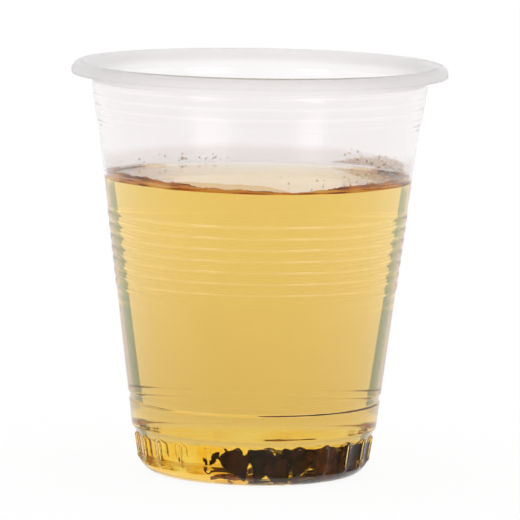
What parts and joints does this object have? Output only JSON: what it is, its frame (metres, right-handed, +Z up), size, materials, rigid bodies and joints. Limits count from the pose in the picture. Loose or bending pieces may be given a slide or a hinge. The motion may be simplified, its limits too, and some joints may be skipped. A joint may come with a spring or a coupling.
{
  "type": "disposable drinking cup",
  "caption": "Clear thin-walled tapered plastic drinking cup with a rolled lip and faceted foot, filled with amber tea over a heap of wet leaves.",
  "frame": {"origin": "centre of the standing ring, on the surface the cup stands on", "axes": "+Z up along the cup's axis; the heap of leaves lies towards +X; the side shown in the picture faces -Y"},
  "size_m": [0.075, 0.075, 0.082],
  "materials": {
    "clear_plastic": "gloss",
    "amber_tea": "gloss",
    "wet_leaf": "satin",
    "wet_stalk": "satin"
  },
  "bodies": {
    "root": {"cup_shell": "clear_plastic", "tea": "amber_tea", "tea_leaf_inner_01": "wet_leaf", "tea_leaf_inner_02": "wet_leaf", "tea_leaf_inner_03": "wet_leaf", "tea_leaf_inner_04": "wet_leaf", "tea_leaf_loose_01": "wet_leaf", "tea_leaf_loose_02": "wet_leaf", "tea_leaf_loose_03": "wet_leaf", "tea_leaf_loose_04": "wet_leaf", "tea_leaf_outer_01": "wet_leaf", "tea_leaf_outer_02": "wet_leaf", "tea_leaf_outer_03": "wet_leaf", "tea_leaf_outer_04": "wet_leaf", "tea_leaf_outer_05": "wet_leaf", "tea_leaf_outer_06": "wet_leaf", "tea_leaf_outer_07": "wet_leaf", "tea_leaf_top_01": "wet_leaf", "tea_leaf_top_02": "wet_leaf", "tea_leaf_top_03": "wet_leaf", "tea_leaf_top_04": "wet_leaf", "tea_leaf_top_05": "wet_leaf", "tea_leaf_wall_01": "wet_leaf", "tea_leaf_wall_02": "wet_leaf", "tea_leaf_wall_03": "wet_leaf", "tea_leaf_wall_04": "wet_leaf", "tea_leaf_wall_05": "wet_leaf", "tea_leaf_wall_06": "wet_leaf", "tea_leaf_wall_07": "wet_leaf", "tea_leaf_wall_08": "wet_leaf", "tea_stalk_01": "wet_stalk", "tea_stalk_02": "wet_stalk", "tea_stalk_03": "wet_stalk"}
  },
  "joints": []
}
